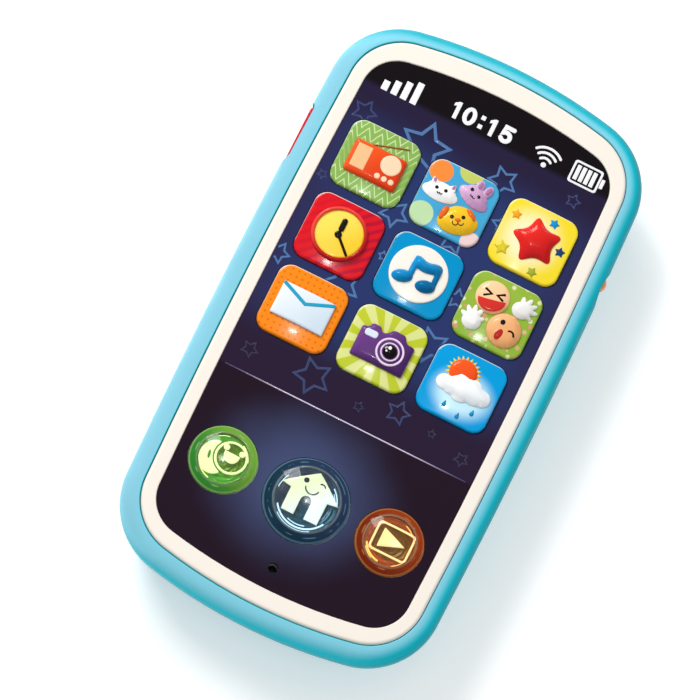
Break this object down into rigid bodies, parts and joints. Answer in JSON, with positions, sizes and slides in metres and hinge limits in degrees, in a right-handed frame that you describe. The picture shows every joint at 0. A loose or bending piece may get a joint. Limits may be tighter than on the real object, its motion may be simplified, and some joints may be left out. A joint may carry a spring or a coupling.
{
  "type": "toy cell phone",
  "caption": "Chunky toy smartphone: cyan shell, cream bezel, dark screen panel, square picture keys, round light-up keys, side volume rocker, power slider and rear battery door.",
  "frame": {"origin": "middle of the flat back, at the height of the face it lies on", "axes": "+Z out of the screen, +Y towards the status bar end, +X to the right as the screen is read"},
  "size_m": [0.08, 0.1484, 0.0252],
  "materials": {
    "housing_cyan": "smooth moulded",
    "bezel_cream": "smooth moulded",
    "panel_navy": "printed, glossy",
    "key_green": "printed under a clear gloss",
    "key_sky": "printed under a clear gloss",
    "key_yellow": "printed under a clear gloss",
    "key_red": "printed under a clear gloss",
    "key_blue": "printed under a clear gloss",
    "key_meadow": "printed under a clear gloss",
    "key_orange": "printed under a clear gloss",
    "key_lime": "printed under a clear gloss",
    "key_cloud_blue": "printed under a clear gloss",
    "dome_green": "clear tinted",
    "dome_clear": "clear",
    "dome_orange": "clear tinted",
    "rocker_red": "smooth moulded",
    "knob_orange": "smooth moulded",
    "rubber_grey": "moulded",
    "board_green": "lacquered laminate",
    "resin_black": "cast",
    "component_grey": "moulded",
    "capacitor_sleeve": "shrunk sleeve",
    "led_white": "clear resin",
    "steel": "plated",
    "spring_steel": "plated",
    "magnet_steel": "plated",
    "cone_paper": "pressed",
    "inner_plastic": "moulded",
    "wire_red": "extruded",
    "cell_jacket": "printed film"
  },
  "bodies": {
    "case": {"rear_housing": "housing_cyan", "front_bezel": "bezel_cream", "screen_panel": "panel_navy", "case_screws": "steel", "rubber_keypad": "rubber_grey", "main_board": "board_green", "board_screws": "steel", "controller_chip": "resin_black", "board_resistors": "component_grey", "board_capacitor": "capacitor_sleeve", "indicator_leds": "led_white", "volume_switches": "component_grey", "volume_plungers": "inner_plastic", "power_switch": "component_grey", "speaker_frame": "steel", "speaker_magnet": "magnet_steel", "speaker_cone": "cone_paper", "speaker_retainer": "inner_plastic", "speaker_screws": "steel", "speaker_wires": "wire_red", "battery_cells": "cell_jacket", "battery_terminals": "spring_steel", "battery_link": "spring_steel", "battery_springs": "spring_steel", "battery_wires": "wire_red"},
    "key_radio": {"key_radio": "key_green"},
    "key_animals": {"key_animals": "key_sky"},
    "key_star": {"key_star": "key_yellow"},
    "key_clock": {"key_clock": "key_red"},
    "key_music": {"key_music": "key_blue"},
    "key_faces": {"key_faces": "key_meadow"},
    "key_mail": {"key_mail": "key_orange"},
    "key_camera": {"key_camera": "key_lime"},
    "key_weather": {"key_weather": "key_cloud_blue"},
    "dome_contacts": {"dome_contacts": "dome_green"},
    "dome_home": {"dome_home": "dome_clear"},
    "dome_video": {"dome_video": "dome_orange"},
    "volume_rocker": {"volume_rocker": "rocker_red"},
    "power_slider": {"power_knob": "knob_orange", "power_switch_lever": "component_grey"},
    "battery_door": {"battery_door": "housing_cyan", "battery_door_screw": "steel"}
  },
  "joints": [
    {"name": "press_radio", "type": "slide", "parent": "case", "child": "key_radio", "axis": [0, 0, -1], "range_m": [0, 0.001], "stiffness_N_per_m": 900, "deforming": ["rubber_keypad"]},
    {"name": "press_animals", "type": "slide", "parent": "case", "child": "key_animals", "axis": [0, 0, -1], "range_m": [0, 0.001], "stiffness_N_per_m": 900, "deforming": ["rubber_keypad"]},
    {"name": "press_star", "type": "slide", "parent": "case", "child": "key_star", "axis": [0, 0, -1], "range_m": [0, 0.001], "stiffness_N_per_m": 900, "deforming": ["rubber_keypad"]},
    {"name": "press_clock", "type": "slide", "parent": "case", "child": "key_clock", "axis": [0, 0, -1], "range_m": [0, 0.001], "stiffness_N_per_m": 900, "deforming": ["rubber_keypad"]},
    {"name": "press_music", "type": "slide", "parent": "case", "child": "key_music", "axis": [0, 0, -1], "range_m": [0, 0.001], "stiffness_N_per_m": 900, "deforming": ["rubber_keypad"]},
    {"name": "press_faces", "type": "slide", "parent": "case", "child": "key_faces", "axis": [0, 0, -1], "range_m": [0, 0.001], "stiffness_N_per_m": 900, "deforming": ["rubber_keypad"]},
    {"name": "press_mail", "type": "slide", "parent": "case", "child": "key_mail", "axis": [0, 0, -1], "range_m": [0, 0.001], "stiffness_N_per_m": 900, "deforming": ["rubber_keypad"]},
    {"name": "press_camera", "type": "slide", "parent": "case", "child": "key_camera", "axis": [0, 0, -1], "range_m": [0, 0.001], "stiffness_N_per_m": 900, "deforming": ["rubber_keypad"]},
    {"name": "press_weather", "type": "slide", "parent": "case", "child": "key_weather", "axis": [0, 0, -1], "range_m": [0, 0.001], "stiffness_N_per_m": 900, "deforming": ["rubber_keypad"]},
    {"name": "press_contacts", "type": "slide", "parent": "case", "child": "dome_contacts", "axis": [0, 0, -1], "range_m": [0, 0.001], "stiffness_N_per_m": 900, "deforming": ["rubber_keypad"]},
    {"name": "press_home", "type": "slide", "parent": "case", "child": "dome_home", "axis": [0, 0, -1], "range_m": [0, 0.001], "stiffness_N_per_m": 900, "deforming": ["rubber_keypad"]},
    {"name": "press_video", "type": "slide", "parent": "case", "child": "dome_video", "axis": [0, 0, -1], "range_m": [0, 0.001], "stiffness_N_per_m": 900, "deforming": ["rubber_keypad"]},
    {"name": "tilt_volume_rocker", "type": "hinge", "parent": "case", "child": "volume_rocker", "pos_m": [-0.0339, 0.0364, 0.0169], "axis": [0, 0, 1], "range_deg": [-3, 3], "stiffness_Nm_per_rad": 0.05},
    {"name": "slide_power_knob", "type": "slide", "parent": "case", "child": "power_slider", "axis": [0, -1, 0], "range_m": [0, 0.003]},
    {"name": "swing_battery_door", "type": "hinge", "parent": "case", "child": "battery_door", "pos_m": [0, -0.0402, 0.0009], "axis": [-1, 0, 0], "range_deg": [0, 30]}
  ]
}
